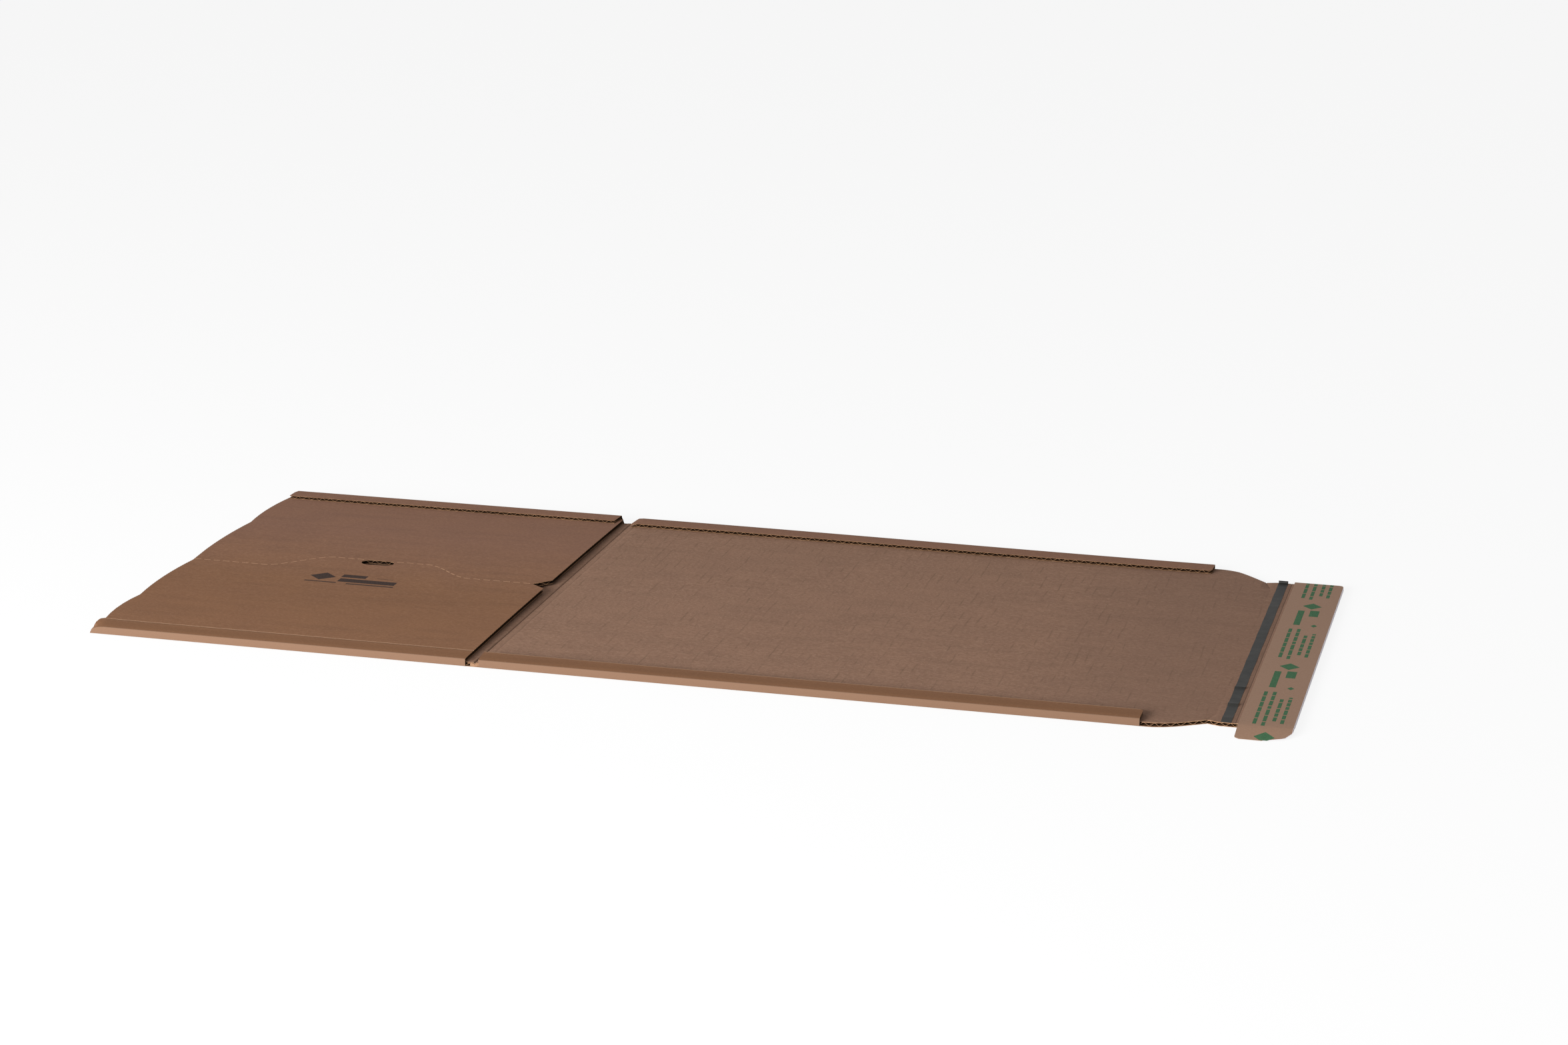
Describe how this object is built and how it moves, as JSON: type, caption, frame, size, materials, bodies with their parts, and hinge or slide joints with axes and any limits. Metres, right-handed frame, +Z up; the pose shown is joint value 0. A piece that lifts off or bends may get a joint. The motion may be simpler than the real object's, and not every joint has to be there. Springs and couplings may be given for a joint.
{
  "type": "wraparound mailer",
  "caption": "Wraparound mailer of corrugated board lying open: a glued flat pouch and a long wrap panel with folded edge flaps, tear strip and covered closing adhesive.",
  "frame": {"origin": "under the middle of the open mailer's bounding box, on the surface that it lies on", "axes": "+X along the mailer from the pouch to the closing end, +Y across it from the near edge to the far edge and along the flutes, +Z up"},
  "size_m": [0.802, 0.3598, 0.0081],
  "materials": {
    "outer_kraft": "matt brown kraft liner board, printed side",
    "inner_kraft": "matt brown kraft liner board, unprinted side, a little greyer",
    "black_tape": "satin black tear tape",
    "adhesive": "clear amber pressure-sensitive adhesive",
    "silicone_kraft": "smooth pinkish brown silicone-coated kraft paper"
  },
  "bodies": {
    "pouch_body": {"pouch": "outer_kraft"},
    "wrap_body": {"wrap_panel": "inner_kraft", "tear_strip": "black_tape", "adhesive_strip": "adhesive", "release_liner": "silicone_kraft"}
  },
  "joints": [
    {"name": "wrap_crease", "type": "hinge", "parent": "pouch_body", "child": "wrap_body", "pos_m": [-0.129, 0, 0.0026], "axis": [0, -1, 0], "range_deg": [0, 110]}
  ]
}
